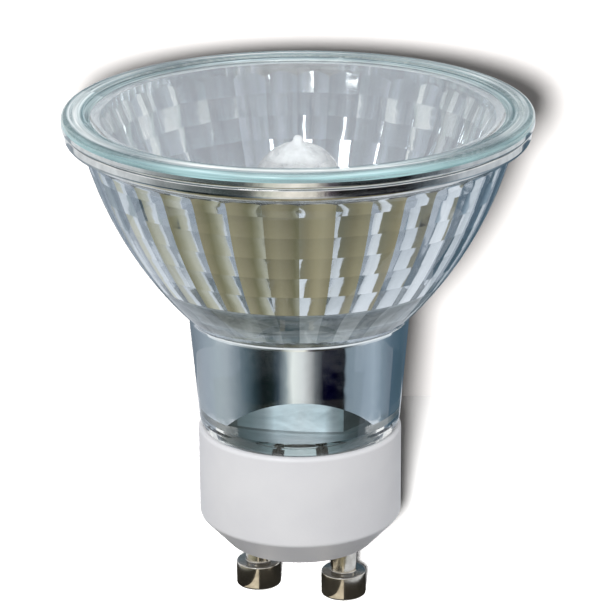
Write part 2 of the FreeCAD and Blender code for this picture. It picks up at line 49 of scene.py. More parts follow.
class Signal:  # a socket that can stand in a sum
    def __init__(self, graph, socket):
        self.graph = graph
        self.socket = socket

    def __add__(self, other):
        return self.graph.maths("ADD", self, other)

    def __sub__(self, other):
        return self.graph.maths("SUBTRACT", self, other)

    def __rsub__(self, other):
        return self.graph.maths("SUBTRACT", other, self)

    def __mul__(self, other):
        return self.graph.maths("MULTIPLY", self, other)

    def __truediv__(self, other):
        return self.graph.maths("DIVIDE", self, other)

    def __gt__(self, other):
        return self.graph.maths("GREATER_THAN", self, other)

    def whole(self):
        return self.graph.maths("FLOOR", self)

    def part(self):
        return self.graph.maths("FRACT", self)

    def largest(self, other):
        return self.graph.maths("MAXIMUM", self, other)


class Graph:  # the node tree of a material or the world
    def __init__(self, owner):
        owner.use_nodes = True
        self.owner = owner
        self.tree = owner.node_tree
        self.tree.nodes.clear()

    def node(self, kind, settings=None, sockets=None, out=0):
        made = self.tree.nodes.new("ShaderNode" + kind)
        for name, value in (settings or {}).items():
            if name == "stops":
                setStops(made.color_ramp, value)
            else:
                setattr(made, name, value)
        named = sockets.items() if isinstance(sockets, dict) else enumerate(sockets or [])
        for name, value in named:
            socket = made.inputs[name]
            if isinstance(value, Signal):
                self.tree.links.new(value.socket, socket)
            elif value is not None:
                socket.default_value = (*value, 1) if socket.type == "RGBA" else value
        return Signal(self, made.outputs[out] if made.outputs else None)

    def maths(self, operation, *values):
        return self.node("Math", {"operation": operation}, values)

    def multiply(self, colour, shade):
        return self.node("VectorMath", {"operation": "MULTIPLY"}, [colour, shade])

    def place(self):  # object coordinates, in metres
        return self.node("TexCoord", out="Object")

    def axes(self):
        split = self.node("SeparateXYZ", None, [self.place()]).socket.node.outputs
        return [Signal(self, split[name]) for name in "XYZ"]

    def vector(self, x, y, z):
        return self.node("CombineXYZ", None, [x, y, z])

    def away(self, x, y):  # distance from the lamp's axis
        return self.maths("SQRT", x * x + y * y)

    def noise(self, scale, detail=3.0, roughness=0.5, where=None, distortion=0.0):
        return self.node("TexNoise", None, {
            "Vector": where or self.place(), "Scale": scale, "Detail": detail,
            "Roughness": roughness, "Distortion": distortion})

    def ramp(self, value, stops):
        return self.node("ValToRGB", {"stops": stops}, [value])

    def spread(self, value, span, outcome=(0.0, 1.0), settings=None):
        return self.node("MapRange", settings, {
            "Value": value, "From Min": span[0], "From Max": span[1],
            "To Min": outcome[0], "To Max": outcome[1]})

    def bump(self, height, strength, distance):
        return self.node("Bump", None, {
            "Strength": strength, "Distance": distance, "Height": height})

    def surface(self, colour, roughness, normal=None, more=None):
        return self.node("BsdfPrincipled", None, {
            "Base Color": colour, "Roughness": roughness, "Normal": normal, **(more or {})})

    def diffuse(self, colour):
        return self.node("BsdfDiffuse", None, {"Color": colour})

    def emission(self, colour, strength=1.0):
        return self.node("Emission", None, {"Color": colour, "Strength": strength})

    def mix(self, share, first, second):
        return self.node("MixShader", None, [share, first, second])

    def finish(self, surface, fill=None):
        if fill:  # light for the paths that the limit of 4 glossy bounces would end in black
            depth = self.node("LightPath", out="Glossy Depth")
            surface = self.mix(depth > 3.5, surface, self.emission(fill))
        self.node("OutputMaterial", None, {"Surface": surface})
        return self.owner


metallic = {"Metallic": 1.0}
clear = {"IOR": 1.5, "Transmission Weight": 1.0}


def setStops(ramp, stops):
    while len(ramp.elements) > 1:
        ramp.elements.remove(ramp.elements[0])
    for index, (position, colour) in enumerate(stops):
        element = ramp.elements[0] if index == 0 else ramp.elements.new(position)
        element.position = position
        element.color = (*colour, 1.0)


def newGraph(name):
    return Graph(bpy.data.materials.new(name))


def placed(name, data):
    made = bpy.data.objects.new(name, data)
    bpy.context.scene.collection.objects.link(made)
    return made


def group(name, pieces):
    made = bpy.data.collections.new(name)
    for piece in pieces:
        made.objects.link(piece)
    return made


def arcPoints(start, end, radius, turn, steps):
    across, up = end[0] - start[0], end[1] - start[1]
    chord = math.hypot(across, up)
    rise = math.sqrt(max(radius ** 2 - chord ** 2 / 4, 0)) * (1 if turn == "left" else -1)
    centre = ((start[0] + end[0]) / 2 - up / chord * rise,
              (start[1] + end[1]) / 2 + across / chord * rise)
    first = math.atan2(start[1] - centre[1], start[0] - centre[0])
    last = math.atan2(end[1] - centre[1], end[0] - centre[0])
    if turn == "left" and last < first:
        last += 2 * math.pi
    if turn == "right" and last > first:
        last -= 2 * math.pi
    angles = np.linspace(first, last, steps + 1)[1:]
    return [(centre[0] + radius * math.cos(a), centre[1] + radius * math.sin(a)) for a in angles]


def profile(corners, steps):  # corners as (x, y), or (x, y, radius, turn) where an arc arrives
    points = []
    for corner in corners:
        if len(corner) == 2:
            points.append(corner)
        else:
            points += arcPoints(points[-1], corner[:2], corner[2], corner[3], steps)
    return points


def spinInto(mesh, points, angles, closed=False, slot=0):  # turns (radius, height) round Z
    rings = []
    for radius, height in points:
        if radius < 1e-6:
            rings.append([mesh.verts.new((0, 0, height * mm))])
        else:
            rings.append([mesh.verts.new((radius * math.cos(a) * mm, radius * math.sin(a) * mm,
                                          height * mm)) for a in angles])
    if closed:
        rings.append(rings[0])
    for low, high in zip(rings, rings[1:]):
        quads(mesh, low, high, len(angles), slot)
    return rings


def quads(mesh, low, high, count, slot=0):
    for k in range(count):
        after = (k + 1) % count
        corners = [low[k % len(low)], low[after % len(low)],
                   high[after % len(high)], high[k % len(high)]]
        corners = list(dict.fromkeys(corners))
        if len(corners) > 2:
            mesh.faces.new(corners).material_index = slot


def evenAngles(count, start=0.0):
    return [start + 2 * math.pi * k / count for k in range(count)]


def sharpen(mesh, limits):  # an edge is sharp where its faces turn more than their slot allows
    for edge in mesh.edges:
        if len(edge.link_faces) != 2:
            continue
        one, two = edge.link_faces
        limit = min(limits[one.material_index], limits[two.material_index])
        edge.smooth = edge.calc_face_angle(0) < math.radians(limit)


def rideRoot(piece, replaced):
    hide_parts(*replaced)
    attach(piece, "root")
    return piece


def pieceFrom(mesh, name, materials, replaced, limits=(25.0, 25.0, 25.0), weld=1e-7):
    if weld:
        bmesh.ops.remove_doubles(mesh, verts=mesh.verts, dist=weld)
    bmesh.ops.recalc_face_normals(mesh, faces=mesh.faces)
    sharpen(mesh, limits)
    for face in mesh.faces:
        face.smooth = True
    data = bpy.data.meshes.new(name)
    mesh.to_mesh(data)
    mesh.free()
    piece = placed(name, data)
    for material in materials:
        data.materials.append(material)
    return rideRoot(piece, replaced)


def spunPiece(name, points, slotName, replaced, segments, at=(0, 0)):
    mesh = bmesh.new()
    spinInto(mesh, points, evenAngles(segments), True)
    bmesh.ops.translate(mesh, verts=mesh.verts, vec=(at[0] * mm, at[1] * mm, 0))
    return pieceFrom(mesh, name, [finishes[slotName]], [replaced])


cameraSetup = {
    "turn": 17.5,             # degrees from the pins' axis to the photograph's
    "spot": (-0.65, -299.26, 137.78),
    "yaw": 0.0043, "pitch": 0.3345, "roll": -0.0061,
    "sensor": 36, "lens": 2898.7 * 36 / 610, "clip": (0.01, 10),
}


def makeCamera(setup):
    yaw, pitch, roll = setup["yaw"], setup["pitch"], setup["roll"]
    look = Vector((math.sin(yaw) * math.cos(pitch), math.cos(yaw) * math.cos(pitch),
                   -math.sin(pitch)))
    right = Vector((math.cos(yaw), -math.sin(yaw), 0))
    up = right.cross(look)
    tiltedRight = math.cos(roll) * right + math.sin(roll) * up
    tiltedUp = -math.sin(roll) * right + math.cos(roll) * up
    turn = Matrix.Rotation(math.radians(setup["turn"]), 4, "Z")
    matrix = Matrix((tiltedRight, tiltedUp, -look)).transposed().to_4x4()
    matrix.translation = Vector(setup["spot"]) * mm
    camera = placed("camera", bpy.data.cameras.new("camera"))
    camera.data.lens = setup["lens"]
    camera.data.sensor_width = setup["sensor"]
    camera.data.clip_start, camera.data.clip_end = setup["clip"]
    camera.matrix_world = turn @ matrix
    bpy.context.scene.camera = camera
    return camera


camera = makeCamera(cameraSetup)
photoTurn = Matrix.Rotation(math.radians(cameraSetup["turn"]), 4, "Z")
print("camera placed")


studio = {
    "worldLight": 0.77,
    "floorReach": 3000, "floorGrey": 0.42, "wallGap": 60, "wallReach": 75, "wallHeight": 80,
    "floor": {"colour": (0.235, 0.232, 0.23), "middle": (0, 18, 0), "fade": (62, 92)},
    "wall": {"colour": (0.235, 0.228, 0.224), "middle": (4, 60, 34), "fade": (44, 64)},
    "flashPower": {"wall": 30.0, "floor": 87.0}, "flashSize": 26, "flashCone": 30,
    "flashBlend": 0.3, "flashShift": (-13.5, -12.5, 0), "flashAim": (0, 0, 28),
}
sunLamps = {  # soft lamps that light only some pieces
    "inner": {"power": 3.0, "angle": 50, "towards": (0.08, 0.84, -0.42), "seen": False},
    "key": {"power": 1.35, "angle": 24, "towards": (0.26, 0.73, -0.62), "seen": True},
}


def whiteRays(graph):  # 1 for the rays that see the white background
    path = graph.node("LightPath").socket.node.outputs
    seen = Signal(graph, path["Is Camera Ray"])
    for name in ("Is Glossy Ray", "Is Transmission Ray"):
        seen = seen.largest(Signal(graph, path[name]))
    return seen


def makeWorld(setup):
    world = bpy.data.worlds.new("studio")
    bpy.context.scene.world = world
    graph = Graph(world)
    plain, white = [graph.node("Background", None, {"Color": (1, 1, 1), "Strength": strength})
                    for strength in (setup["worldLight"], 1.0)]
    graph.node("OutputWorld", None, {"Surface": graph.mix(whiteRays(graph), plain, white)})


def stageMaterial(name, setup):  # fades to white; clear from behind and below
    graph = newGraph(name)
    gap = graph.node("VectorMath", {"operation": "DISTANCE"},
                     [graph.place(), tuple(x * mm for x in setup["middle"])], out="Value")
    fade = graph.spread(gap, [reach * mm for reach in setup["fade"]],
                        settings={"interpolation_type": "SMOOTHSTEP"})
    lit = graph.mix(fade * whiteRays(graph), graph.diffuse(setup["colour"]),
                    graph.emission((1, 1, 1)))
    behind = graph.node("NewGeometry", out="Backfacing")
    return graph.finish(graph.mix(behind, lit, graph.node("BsdfTransparent")))


def stagePiece(name, corners, faces, material, visible):
    mesh = bpy.data.meshes.new(name)
    mesh.from_pydata([tuple(x * mm for x in corner) for corner in corners], [], faces)
    mesh.materials.append(material)
    piece = placed(name, mesh)
    piece.matrix_world = photoTurn
    for ray in ("camera", "diffuse", "glossy", "transmission", "shadow", "volume_scatter"):
        setattr(piece, "visible_" + ray, ray in visible)
    return piece


def makeLamp(name, kind, power, towards, lit):  # lights only the pieces in lit
    lamp = bpy.data.lights.new(name, kind)
    lamp.energy = power
    made = placed(name, lamp)
    made.rotation_mode = "QUATERNION"
    made.rotation_quaternion = towards.to_track_quat("-Z", "Y")
    made.light_linking.receiver_collection = group(name + "Lit", lit)
    return made


def makeStage(setup):
    far, reach, gap = setup["floorReach"], setup["wallReach"], setup["wallGap"]
    ground = [(-far, -far, 0), (far, -far, 0), (far, far, 0), (-far, far, 0)]
    upright = [(-reach, gap, 0), (reach, gap, 0),
               (reach, gap, setup["wallHeight"]), (-reach, gap, setup["wallHeight"])]
    whole = [range(4)]
    floor = stagePiece("floor", ground, whole, stageMaterial("floorPaint", setup["floor"]),
                       ("camera", "glossy", "transmission"))
    grey = newGraph("floorGrey")  # the floor as matt surfaces see it, without the flash
    stagePiece("floorBounce", ground, whole,
               grey.finish(grey.diffuse((setup["floorGrey"],) * 3)), ("diffuse",))
    wall = stagePiece("backdrop", upright, whole, stageMaterial("wallPaint", setup["wall"]),
                      ("camera", "transmission"))
    spot = camera.matrix_world @ (Vector(setup["flashShift"]) * mm)
    aim = Vector(setup["flashAim"]) * mm
    for piece, kind in ((wall, "wall"), (floor, "floor")):
        flash = makeLamp(kind + "Flash", "SPOT", setup["flashPower"][kind], aim - spot, [piece])
        flash.location = spot
        flash.data.shadow_soft_size = setup["flashSize"] / 2 * mm
        flash.data.spot_size = math.radians(setup["flashCone"])
        flash.data.spot_blend = setup["flashBlend"]
    return floor


def makeSun(name, lit, shading=None):
    setup = sunLamps[name]
    sun = makeLamp(name + "Lamp", "SUN", setup["power"], photoTurn @ Vector(setup["towards"]), lit)
    sun.data.angle = math.radians(setup["angle"])
    sun.visible_glossy = setup["seen"]
    sun.visible_transmission = False
    if shading:
        sun.light_linking.blocker_collection = group(name + "Blockers", [shading])


makeWorld(studio)
floor = makeStage(studio)
print("stage ready")


turned = math.radians(cameraSetup["turn"])
pressedLook = {  # the moulded flutes and rows, with the painted reflection and shade that the finishes give each facet
    "flutes": 36, "firstGroove": 7.5,
    "mirror": {"start": 38.4, "pitch": 2.45, "contrast": 0.8, "plain": 0.45,
               "cloud": 0.2},
    "shoulder": {"start": 29.0, "pitch": 2.3, "contrast": 0.45, "swirl": 0.55},
    "facet": 0.15, "strip": 0.58, "paintedRowShade": 0.27,  # shares of the painted tone: per facet, per flute, and the painted shade that darkens each row towards its top
    "facetSeed": 3.7, "stripSeed": (0.5, 9.1),
}
# painted highlight on the quartz: how its white diffuse coat is spread
paintedHighlightLook = {"colour": (0.95, 0.96, 0.98), "grain": 700.0, "patches": (0.35, 0.65),
             "swing": (0.5, 1.5), "reach": (0.0012, 0.0036), "last": 0.2}


def glassMaterial(name, tint, roughness, waviness, fill, paintedHighlight=0.0):
    graph = newGraph(name)
    swell = graph.noise(scale=90.0, detail=2.0)
    normal = graph.bump(swell, waviness, distance=0.0004)
    surface = graph.surface(tint, roughness, normal, clear)
    if paintedHighlight:  # painted highlight: a white diffuse coat, thickest round the tip
        least, most = paintedHighlightLook["swing"]
        patchy = graph.spread(graph.noise(paintedHighlightLook["grain"]), paintedHighlightLook["patches"],
                              (paintedHighlight * least, paintedHighlight * most))
        x, y, _ = graph.axes()
        patchy = patchy * graph.spread(graph.away(x, y), paintedHighlightLook["reach"],
                                       (1.0, paintedHighlightLook["last"]))
        surface = graph.mix(patchy, surface, graph.diffuse(paintedHighlightLook["colour"]))
    return graph.finish(surface, fill)


def paintedFacetReflectionShade(graph, rows):  # painted reflection and shade: each pressed facet has its own tone, and each row darkens towards its top
    flutes = pressedLook["flutes"]
    x, y, z = graph.axes()
    shift = flutes - pressedLook["firstGroove"] * flutes / 360
    flute = (graph.maths("ARCTAN2", y, x) * (flutes / (2 * math.pi)) + shift).whole()
    row = (z - rows["start"] * mm) / (rows["pitch"] * mm)
    facet = graph.node("TexWhiteNoise", None, [
        graph.vector(flute, row.whole(), pressedLook["facetSeed"])])
    strip = graph.node("TexWhiteNoise", None, [graph.vector(flute, *pressedLook["stripSeed"])])
    return (facet * pressedLook["facet"] + strip * pressedLook["strip"]
            + (1 - row.part()) * pressedLook["paintedRowShade"])


def mirrorMaterial(name, faceted, fill):
    graph = newGraph(name)
    rows = pressedLook["mirror"]
    cloud = graph.noise(scale=220.0)
    # painted reflection: the faceted mirror's colour changes from facet to facet, standing in for
    # the varied room it reflects
    tone = paintedFacetReflectionShade(graph, rows) * rows["contrast"] if faceted else rows["plain"]
    colour = graph.ramp(cloud * rows["cloud"] + tone, [
        (0.10, (0.58, 0.60, 0.63)), (0.5, (0.83, 0.85, 0.87)), (0.9, (0.97, 0.97, 0.98))])
    rough = graph.ramp(graph.noise(scale=700.0), [(0.3, (0.03,) * 3), (0.75, (0.09,) * 3)])
    normal = graph.bump(graph.noise(scale=260.0, detail=2.0), strength=0.12, distance=0.0003)
    return graph.finish(graph.surface(colour, rough, normal, metallic), fill)


slotLook = {  # how deep the slot's shade is, by the share of its reach aside
    "reach": 0.008, "stops": [
        (0.0, (1.0, 1.0, 1.0)), (0.24, (0.94, 0.97, 0.98)), (0.34, (0.50, 0.55, 0.57)),
        (0.46, (0.30, 0.37, 0.39)), (0.68, (0.12, 0.17, 0.19))],
}


def slotShade(graph, colour):  # what lies in the vault darkens to its sides
    x, y, _ = graph.axes()
    aside = graph.maths("ABSOLUTE", x * math.cos(turned) + y * math.sin(turned))
    return graph.multiply(colour, graph.ramp(aside * (1 / slotLook["reach"]), slotLook["stops"]))


def hazeMaterial(name, dark, light, share, stretch, shaded=False, pressed=False):
    # a film or a pressed face that also scatters light; a pressed face also takes the painted
    # facet reflection and shade
    graph = newGraph(name)
    where = graph.node("Mapping", None, {"Vector": graph.place(), "Scale": stretch})
    swirl = graph.noise(1.0, detail=4.0, roughness=0.6, where=where, distortion=0.8)
    rows = pressedLook["shoulder"]
    tone = swirl
    if pressed:
        tone = swirl * rows["swirl"] + paintedFacetReflectionShade(graph, rows) * rows["contrast"]
    colour = graph.ramp(tone, [(0.32, dark), (0.68, light)])
    if shaded:
        colour = slotShade(graph, colour)
    normal = graph.bump(swirl, strength=0.3, distance=0.0003)
    film = graph.surface(colour, roughness=0.35, normal=normal)
    gloss = graph.surface((0.74, 0.77, 0.80), roughness=0.12, normal=normal, more=metallic)
    return graph.finish(graph.mix(share, gloss, film))


def flangeMaterial():  # the film wraps over the flange, under clear glass
    graph = newGraph("flangeRim")
    filmShare = 0.92
    cloud = graph.noise(scale=500.0)
    colour = graph.ramp(cloud, [(0.3, (0.60, 0.60, 0.59)), (0.7, (0.86, 0.86, 0.84))])
    normal = graph.bump(cloud, strength=0.1, distance=0.0002)
    film = graph.surface(colour, roughness=0.09, normal=normal, more=metallic)
    glass = graph.surface((0.97, 0.99, 0.99), roughness=0.0, more=clear)
    return graph.finish(graph.mix(filmShare, glass, film))


edgeLook = {
    "stretch": (1.6, 2600.0, 1900.0),  # round the rim, outwards and up
    "inner": 22.3, "across": 3.2,      # the rings' start and width, in millimetres
    # painted reflection and highlight: the teal and white streaks and rings, over a cloudy ground
    # finish
    "streaks": [(0.37, (0.18, 0.26, 0.28)), (0.46, (0.56, 0.64, 0.66)), (0.55, (0.91, 0.96, 0.97)),
                (0.66, (1.25, 1.25, 1.25))],
    "rings": [(0.0, (0.95, 1.0, 1.0)), (0.16, (0.86, 0.93, 0.95)), (0.22, (0.10, 0.22, 0.24)),
              (0.30, (0.66, 0.74, 0.76)), (0.50, (1.0, 1.0, 1.0)), (0.68, (0.86, 0.89, 0.91)),
              (0.78, (0.14, 0.26, 0.28)), (0.87, (0.48, 0.62, 0.64)), (0.97, (0.24, 0.46, 0.47))],
    "slow": [(0.38, (0.50, 0.55, 0.57)), (0.5, (0.90, 0.92, 0.92)), (0.62, (1.25, 1.25, 1.25))],
    "shares": (0.6, 0.4), "slowGrain": 60.0, "slowSeed": 4.2,
    "tint": (0.87, 0.955, 0.955), "fill": (0.40, 0.50, 0.53),
    "streaky": (0.3, 0.7), "cloudy": (0.42, 0.78),
}


def edgeMaterial(look):  # the cover's ground edge and the ring that lies on the flange: a cloudy ground finish, with painted reflections and highlights in its teal and white streaks and rings
    graph = newGraph("coverEdge")
    x, y, z = graph.axes()
    away = graph.away(x, y)
    along, outward, upward = look["stretch"]
    where = graph.vector(graph.maths("ARCTAN2", y, x) * along, away * outward, z * upward)
    streak = graph.noise(scale=1.0, roughness=0.55, where=where)
    broad = graph.noise(scale=0.35, detail=2.0, where=where)
    streakShare, broadShare = look["shares"]
    streaks = graph.ramp(streak * streakShare + broad * broadShare, look["streaks"])
    ring = away * (1000 / look["across"]) - look["inner"] / look["across"]
    grain, seed = look["slowGrain"], look["slowSeed"]
    slow = graph.noise(1.0, detail=2.0, where=graph.vector(x * grain, y * grain, seed))
    colour = graph.multiply(streaks, graph.ramp(ring, look["rings"]))
    colour = graph.multiply(colour, graph.ramp(slow, look["slow"]))
    glass = graph.surface(look["tint"], roughness=0.0, more=clear)
    cloudy = graph.surface(colour, roughness=0.22, more={"Coat Weight": 0.6})
    share = graph.spread(streak, look["streaky"], look["cloudy"])
    return graph.finish(graph.mix(share, glass, cloudy), look["fill"])


def ceramicMaterial():
    graph = newGraph("whiteCeramic")
    colour = graph.ramp(graph.noise(scale=120.0, detail=4.0),
                        [(0.35, (0.80, 0.80, 0.83)), (0.7, (0.86, 0.86, 0.88))])
    rough = graph.ramp(graph.noise(scale=900.0, detail=2.0),
                       [(0.3, (0.38,) * 3), (0.7, (0.55,) * 3)])
    normal = graph.bump(graph.noise(scale=2600.0), strength=0.25, distance=0.00004)
    return graph.finish(graph.surface(colour, rough, normal))


def metalMaterial(name, light, dark, roughest):
    graph = newGraph(name)
    stain = graph.noise(scale=900.0, detail=4.0)
    colour = graph.ramp(stain, [(0.35, dark), (0.7, light)])
    rough = graph.ramp(stain, [(0.3, (roughest,) * 3), (0.7, (roughest * 0.5,) * 3)])
    normal = graph.bump(graph.noise(scale=1800.0, detail=2.0), strength=0.15, distance=0.00003)
    return graph.finish(graph.surface(colour, rough, normal, metallic))


def mattMaterial(name, light, dark, grain, roughness, shaded=False):
    graph = newGraph(name)
    speck = graph.noise(grain, detail=4.0)
    colour = graph.ramp(speck, [(0.3, dark), (0.7, light)])
    if shaded:
        colour = slotShade(graph, colour)
    normal = graph.bump(speck, strength=0.4, distance=0.0001)
    return graph.finish(graph.surface(colour, roughness, normal))


looks = {  # for each kind of finish, its slots
    glassMaterial: {
        "reflector_glass": {"name": "pressedGlass", "tint": (0.93, 0.965, 0.965),
                            "roughness": 0.0, "waviness": 0.15, "fill": (0.48, 0.54, 0.60)},
        "cover_glass": {"name": "coverGlass", "tint": (0.955, 0.985, 0.985),
                        "roughness": 0.0, "waviness": 0.03, "fill": (0.42, 0.55, 0.56)},
        "quartz": {"name": "quartz", "tint": (0.99, 0.99, 1.0), "roughness": 0.02,
                   "waviness": 0.05, "fill": (0.92, 0.94, 0.96), "paintedHighlight": 0.85},
    },
    mirrorMaterial: {
        "mirror": {"name": "facetMirror", "faceted": True, "fill": (0.48, 0.53, 0.59)},
        "bore": {"name": "boreMirror", "faceted": False, "fill": (0.01, 0.015, 0.02)},
    },
    hazeMaterial: {
        # painted reflection: the collar's swirl and facet tone stand in for what the clear
        # shoulder refracts
        "collar": {"name": "clearShoulder", "dark": (0.06, 0.10, 0.11),
                   "light": (0.74, 0.80, 0.82), "share": 0.70, "stretch": (480, 480, 200),
                   "pressed": True},
        "bridge": {"name": "bridgeFilm", "dark": (0.40, 0.46, 0.49),
                   "light": (0.72, 0.77, 0.80), "share": 0.88, "stretch": (160, 160, 420),
                   "shaded": True},
    },
    edgeMaterial: {"cover_edge": {"look": edgeLook}},
    flangeMaterial: {"flange": {}},
    ceramicMaterial: {"white_ceramic": {}},
    metalMaterial: {
        "nickel_plate": {"name": "nickelPlate", "light": (0.70, 0.67, 0.61),
                         "dark": (0.50, 0.47, 0.42), "roughest": 0.20},
        "nickel_wire": {"name": "nickelWire", "light": (0.58, 0.56, 0.53),
                        "dark": (0.45, 0.43, 0.40), "roughest": 0.35},
        "tungsten": {"name": "tungsten", "light": (0.36, 0.36, 0.37),
                     "dark": (0.24, 0.24, 0.25), "roughest": 0.4},
        "molybdenum": {"name": "molybdenum", "light": (0.48, 0.48, 0.48),
                       "dark": (0.38, 0.38, 0.38), "roughest": 0.35},
    },
    mattMaterial: {
        "cement": {"name": "cement", "light": (0.58, 0.66, 0.68), "dark": (0.44, 0.51, 0.53),
                   "grain": 1500.0, "roughness": 0.9, "shaded": True},
        "adhesive": {"name": "adhesive", "light": (0.78, 0.79, 0.78),
                     "dark": (0.68, 0.70, 0.69), "grain": 900.0, "roughness": 0.4},
        "glass_fibre": {"name": "glassFibre", "light": (0.86, 0.85, 0.81),
                        "dark": (0.70, 0.69, 0.65), "grain": 4000.0, "roughness": 0.8},
    },
}
finishes = {slot: make(**look) for make, slots in looks.items() for slot, look in slots.items()}
for sub in frame["record"]["subparts"]:
    node = frame["nodes"][sub["node"]]
    node.data.materials.clear()
    node.data.materials.append(finishes[sub["material_slot"]])
print("finishes ready")


reflectorShape = {
    "flutes": pressedLook["flutes"], "firstGroove": pressedLook["firstGroove"],
    "start": pressedLook["mirror"]["start"], "pitch": pressedLook["mirror"]["pitch"],
    "swell": 2.33, "across": 12, "rows": 6, "topFlare": 0.45, "bandRadius": 21.2,
    "rebateFloor": 53.8, "topLevel": 54.5,
    "bowlFoot": (12.45, 33.45), "bowlTop": (22.8, 51.5), "bowlRound": 42.8, "wall": 2.0,
    "throatTop": (13.7, 38.4), "throatFoot": (9.0, 34.5), "throatRound": 9.0,
    "outside": [  # spigot, neck, bowl, flange, mouth
        (8.4, 21.2), (8.4, 15.5), (9.9, 15.5), (9.9, 20.2), (10.65, 20.2),
        (11.1, 21.7, 2.6, "left"), (12.05, 32.6), (12.45, 33.45, 1.2, "right"),
        (22.8, 51.5, 42.8, "left"), (24.35, 53.1, 2.3, "right"), (25.0, 53.75, 0.65, "left"),
        (25.0, 54.3), (24.8, 54.5, 0.2, "left"), (23.22, 54.5), (22.32, 53.8), (21.2, 53.8)],
    "outsideSteps": 16, "throatSteps": 22,
    "boreMiddle": 28.0, "boreLean": 0.1,
    "vaultRound": 8.4, "vaultCrown": 26.1, "neckFloor": 22.2, "vaultSteps": (8, 6, 8),
    "slot": (4.3, 1.8), "slotShare": 0.45, "roof": 21.2, "endSteps": 6,
    "flangeFrom": (22.4, 52.9),
}
reflectorSlots = {  # finish, and the turn in degrees that makes an edge sharp
    "reflector_glass": 25.0, "mirror": 2.3, "collar": 20.0, "bridge": 25.0, "bore": 20.0,
    "flange": 25.0,
}
glassSlot, mirrorSlot, collarSlot, bridgeSlot, boreSlot, flangeSlot = range(6)


def grooveRadius(shape, height):
    (x0, y0), (x1, y1) = shape["bowlFoot"], shape["bowlTop"]
    chord = math.hypot(x1 - x0, y1 - y0)
    rise = math.sqrt(shape["bowlRound"] ** 2 - chord ** 2 / 4)
    hub = ((x0 + x1) / 2 - (y1 - y0) / chord * rise, (y0 + y1) / 2 + (x1 - x0) / chord * rise)
    inner = shape["bowlRound"] - shape["wall"]
    return hub[0] + math.sqrt(inner ** 2 - (height - hub[1]) ** 2)


def fluteColumns(shape):  # for each column, its place on a ring of radius 1
    half = math.pi / shape["flutes"]
    swell = shape["swell"]
    spread = math.asin(swell * math.sin(half))
    hub = math.cos(half) - (1 - math.cos(spread)) / swell + 1 / swell
    columns = []
    for flute in range(shape["flutes"]):
        middle = math.radians(shape["firstGroove"]) + (2 * flute + 1) * half
        for step in range(shape["across"]):
            lean = -spread + 2 * spread * step / shape["across"]
            inward, sideways = hub - math.cos(lean) / swell, math.sin(lean) / swell
            columns.append((inward * math.cos(middle) - sideways * math.sin(middle),
                            inward * math.sin(middle) + sideways * math.cos(middle)))
    return columns


def vaultHeight(shape, x, y):
    reach = shape["vaultRound"] ** 2 - (x * math.cos(turned) + y * math.sin(turned)) ** 2
    base = shape["vaultCrown"] - shape["vaultRound"]
    return max(shape["neckFloor"], base + math.sqrt(max(reach, 0)))


def boreAngles(shape, count):  # even, but for the columns that meet the slot
    angles = evenAngles(count, math.radians(shape["firstGroove"]))
    for side in (0, 1):
        for sign in (1, -1):
            corner = math.acos(shape["slot"][0] / shape["throatFoot"][0])
            target = (sign * corner + side * math.pi) % (2 * math.pi)
            nearest = min(range(count), key=lambda k: abs((angles[k] - target + math.pi)
                                                          % (2 * math.pi) - math.pi))
            angles[nearest] = target
    return angles


def mirrorRings(mesh, shape, angles):  # flutes, facet rows and the smooth band above them
    columns = fluteColumns(shape)
    levels = [shape["start"] + row * shape["pitch"] for row in range(shape["rows"])]
    radii = [grooveRadius(shape, level) for level in levels]
    flared = radii[-1] + (shape["topLevel"] - levels[-1]) * shape["topFlare"]
    rings = [[mesh.verts.new((x * r * mm, y * r * mm, level * mm)) for x, y in columns]
             for r, level in zip(radii, levels)]
    edgeRing = []
    for x, y in columns:
        wanted = shape["bandRadius"] / math.hypot(x, y)
        share = (wanted - radii[-1]) / (flared - radii[-1])
        height = levels[-1] + share * (shape["topLevel"] - levels[-1])
        edgeRing.append(mesh.verts.new((x * wanted * mm, y * wanted * mm, height * mm)))
    rings.append(edgeRing)
    rings.append([mesh.verts.new((shape["bandRadius"] * math.cos(a) * mm,
                                  shape["bandRadius"] * math.sin(a) * mm,
                                  shape["rebateFloor"] * mm)) for a in angles])
    for low, high in zip(rings, rings[1:]):
        quads(mesh, low, high, len(angles), mirrorSlot)
    return rings


def vaultStrips(mesh, shape, places):  # strips across the bore, with the slot left open
    upper = sorted((k for k in range(len(places)) if places[k][1] > -1e-6),
                   key=lambda k: places[k][0])
    slotX, slotY = shape["slot"]
    roof = shape["roof"] * mm

    def strip(x, first, last, steps):
        return [mesh.verts.new((x * mm, y * mm, vaultHeight(shape, x, y) * mm))
                for y in np.linspace(first, last, steps + 1)]

    for left, right in zip(upper, upper[1:]):
        spans = []
        for k in (left, right):
            top = max(places[k][1], 0.0)
            gate = min(slotY, top * shape["slotShare"])
            spans.append([strip(places[k][0], first, last, steps) for first, last, steps in zip(
                (top, gate, -gate), (gate, -gate, -top), shape["vaultSteps"])])
        overSlot = abs(places[left][0] + places[right][0]) / 2 < slotX
        for part in (0, 2) if overSlot else (0, 1, 2):
            one, two = spans[0][part], spans[1][part]
            for corners in zip(one, two, two[1:], one[1:]):
                mesh.faces.new(corners).material_index = bridgeSlot
        if overSlot:
            for part, end in ((0, -1), (2, 0)):
                edge = [spans[0][part][end], spans[1][part][end]]
                deep = [mesh.verts.new((v.co.x, v.co.y, roof)) for v in edge]
                side = mesh.faces.new((edge[0], edge[1], deep[1], deep[0]))
                side.material_index = bridgeSlot
    for x in (-slotX, slotX):
        ends = strip(x, slotY, -slotY, shape["endSteps"])
        ends += [mesh.verts.new((x * mm, y * mm, roof)) for y in (-slotY, slotY)]
        mesh.faces.new(ends).material_index = bridgeSlot


